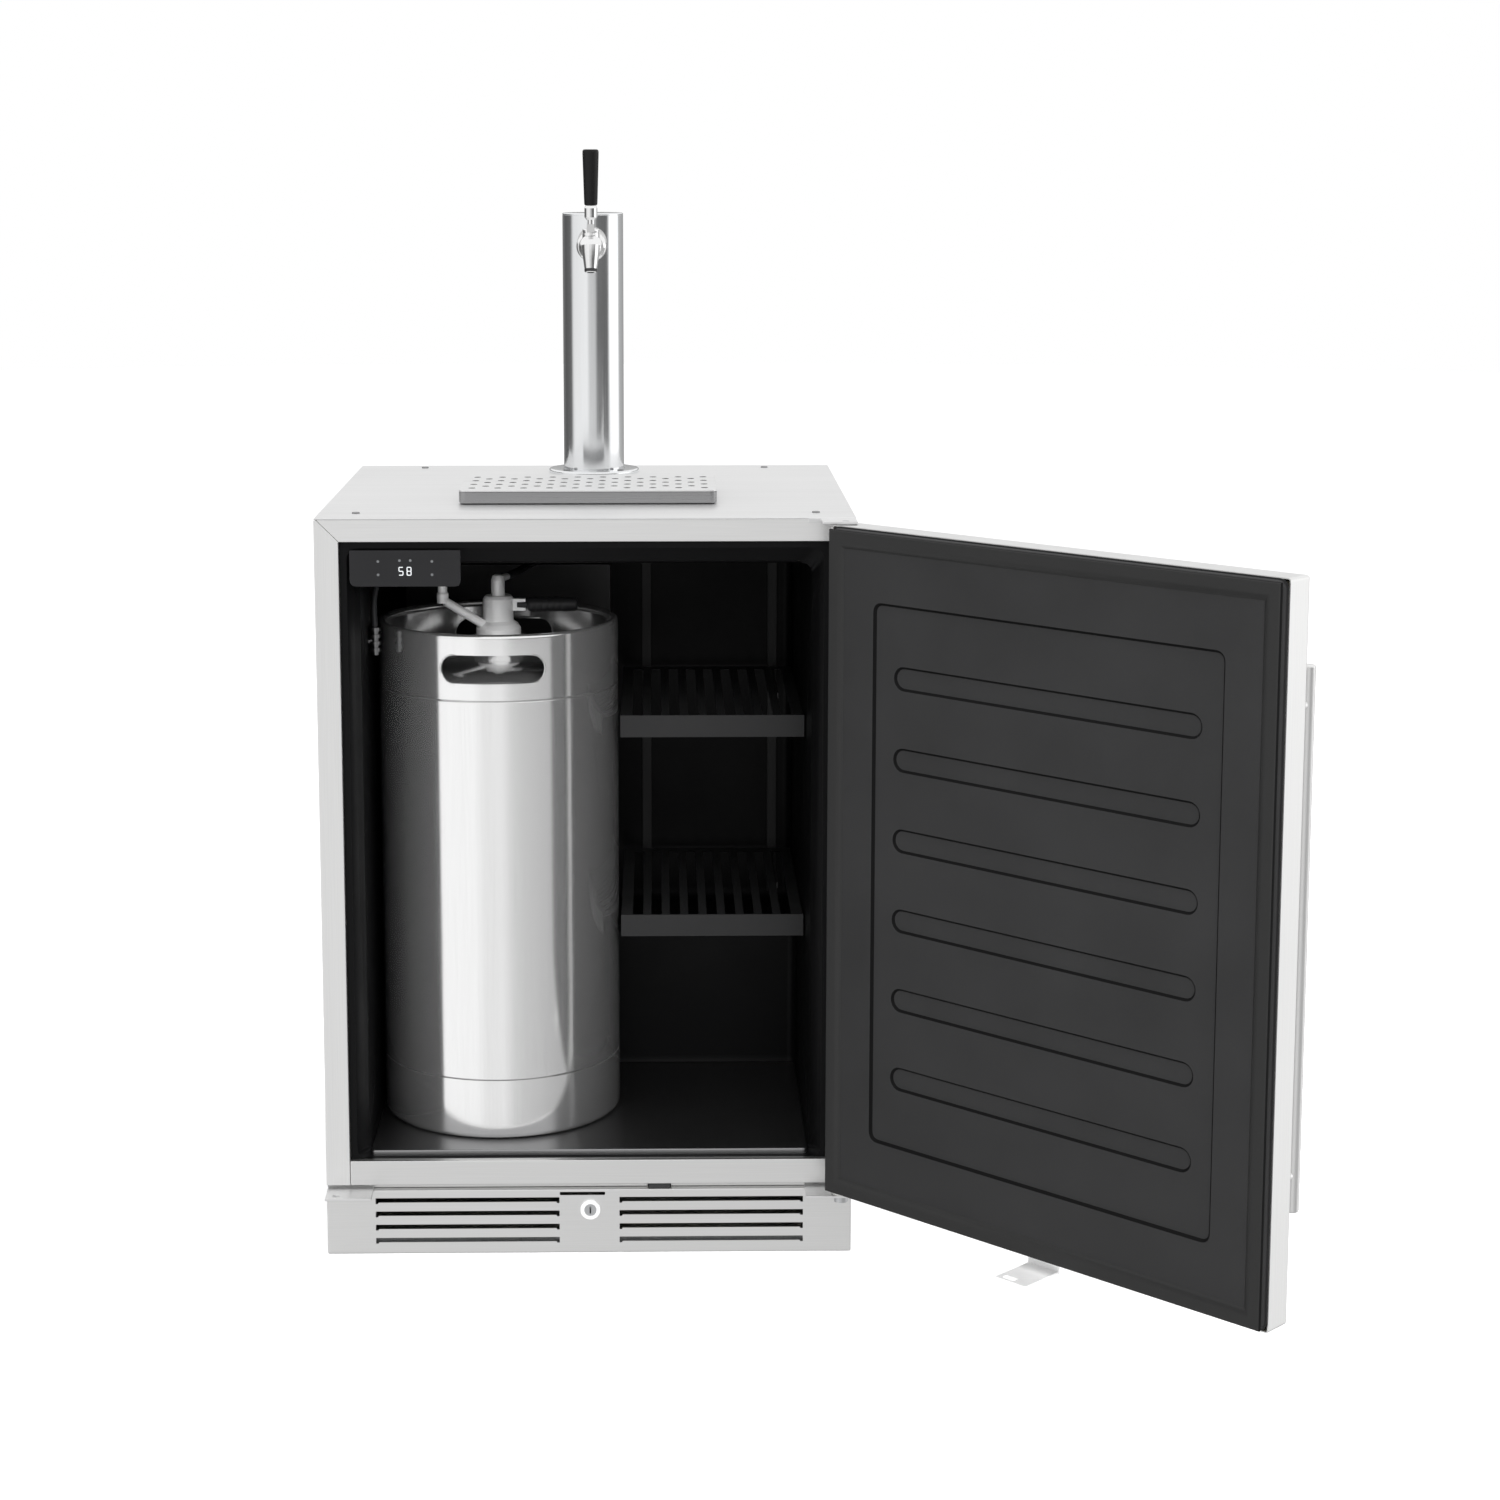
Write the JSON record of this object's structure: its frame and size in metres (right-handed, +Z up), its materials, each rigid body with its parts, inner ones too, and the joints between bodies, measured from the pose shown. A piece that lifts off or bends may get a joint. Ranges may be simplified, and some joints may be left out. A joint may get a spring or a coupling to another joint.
{
  "type": "kegerator",
  "caption": "Undercounter draft beer cooler: insulated cabinet with a hinged door, keg, coupler, shelves, lock, drip tray and a tap tower on top.",
  "frame": {"origin": "middle of the cabinet's footprint on the floor, on the underside of the base pan", "axes": "+Z up, -Y is the front where the door opens, +X to the right seen from the front"},
  "size_m": [1.0354, 1.0383, 1.259],
  "materials": {
    "brushed_front": "brushed stainless",
    "casing_steel": "fine brushed stainless",
    "galvanised": "zinc coated sheet",
    "keg_steel": "satin stainless",
    "chrome_fittings": "polished",
    "shaft_brass": "turned",
    "black_plastic": "satin black",
    "liner_plastic": "moulded black",
    "gasket_rubber": "soft magnetic gasket",
    "hose": "black hose",
    "nylon": "moulded nylon",
    "foam": "polyurethane foam, sealed inside",
    "shelf_coating": "dark powder coat",
    "machine_black": "black enamel",
    "fins": "bare fins",
    "light_lens": "frosted lens"
  },
  "bodies": {
    "cabinet": {"base_pan": "galvanised", "kick_plate": "brushed_front", "side_panel_left": "casing_steel", "side_panel_right": "casing_steel", "back_panel": "galvanised", "top_panel": "casing_steel", "frame_top_rail": "brushed_front", "frame_bottom_rail": "brushed_front", "frame_stile_left": "brushed_front", "frame_stile_right": "brushed_front", "inner_liner": "liner_plastic", "wall_insulation": "foam", "floor_plate": "casing_steel", "upper_hinge_plate": "casing_steel", "lower_hinge_brackets": "casing_steel", "hinge_pins": "chrome_fittings", "lock_housing": "chrome_fittings", "door_switch": "black_plastic", "control_panel": "black_plastic", "ceiling_light": "light_lens", "shelf_upper": "shelf_coating", "shelf_lower": "shelf_coating", "shelf_brackets": "shelf_coating", "keg_shell": "keg_steel", "keg_top_skirt": "keg_steel", "keg_bottom_skirt": "keg_steel", "keg_valve": "keg_steel", "coupler_body": "chrome_fittings", "coupler_probe": "chrome_fittings", "beer_line": "hose", "gas_line": "hose", "gas_bulkhead": "chrome_fittings", "tower_flange": "casing_steel", "tower_column": "casing_steel", "tower_cap": "casing_steel", "faucet_shank": "chrome_fittings", "faucet_body": "chrome_fittings", "compressor": "machine_black", "condenser": "fins", "evaporator_cover": "black_plastic", "control_box": "black_plastic", "levelling_feet": "nylon", "panel_screws": "chrome_fittings"},
    "door": {"door_pan": "brushed_front", "door_foam": "foam", "door_inner_panel": "liner_plastic", "door_gasket": "gasket_rubber", "handle_bar": "brushed_front", "handle_standoffs": "brushed_front", "door_bushes": "nylon", "lock_strike": "casing_steel"},
    "tap_lever": {"faucet_lever": "chrome_fittings", "tap_handle": "black_plastic"},
    "tap_shaft": {"faucet_shaft": "shaft_brass"},
    "drip_tray": {"drip_tray": "casing_steel"},
    "drip_grid": {"drip_grid": "casing_steel"},
    "lock_plug": {"lock_plug": "chrome_fittings"},
    "coupler_handle": {"coupler_handle": "black_plastic"},
    "condenser_fan": {"condenser_fan": "black_plastic"},
    "evaporator_fan": {"evaporator_fan": "black_plastic"}
  },
  "joints": [
    {"name": "door_hinge", "type": "hinge", "parent": "cabinet", "child": "door", "pos_m": [0.288, -0.3025, 0.467], "axis": [0, 0, 1], "range_deg": [-135, 0]},
    {"name": "tap_lever", "type": "hinge", "parent": "cabinet", "child": "tap_lever", "pos_m": [0, 0.1, 1.16], "axis": [1, 0, 0], "range_deg": [0, 35]},
    {"name": "tap_shaft_slide", "type": "slide", "parent": "cabinet", "child": "tap_shaft", "axis": [0, 1, 0], "range_m": [0, 0.0087]},
    {"name": "drip_tray_lift", "type": "slide", "parent": "cabinet", "child": "drip_tray", "axis": [0, 0, 1], "range_m": [0, 0.1]},
    {"name": "drip_grid_lift", "type": "slide", "parent": "drip_tray", "child": "drip_grid", "axis": [0, 0, 1], "range_m": [0, 0.05]},
    {"name": "lock_turn", "type": "hinge", "parent": "cabinet", "child": "lock_plug", "pos_m": [0.001, -0.262, 0.052], "axis": [0, -1, 0], "range_deg": [0, 90]},
    {"name": "coupler_lever", "type": "hinge", "parent": "cabinet", "child": "coupler_handle", "pos_m": [-0.082, -0.0805, 0.727], "axis": [0, -1, 0], "range_deg": [0, 40]},
    {"name": "condenser_fan_spin", "type": "hinge", "parent": "cabinet", "child": "condenser_fan", "pos_m": [0.12, 0.205, 0.112], "axis": [0, 1, 0], "continuous": true},
    {"name": "evaporator_fan_spin", "type": "hinge", "parent": "cabinet", "child": "evaporator_fan", "pos_m": [-0.11, 0.209, 0.608], "axis": [0, 1, 0], "continuous": true}
  ],
  "couplings": [
    {"joint": "tap_shaft_slide", "follows": "tap_lever", "m_per_rad": 0.014}
  ]
}
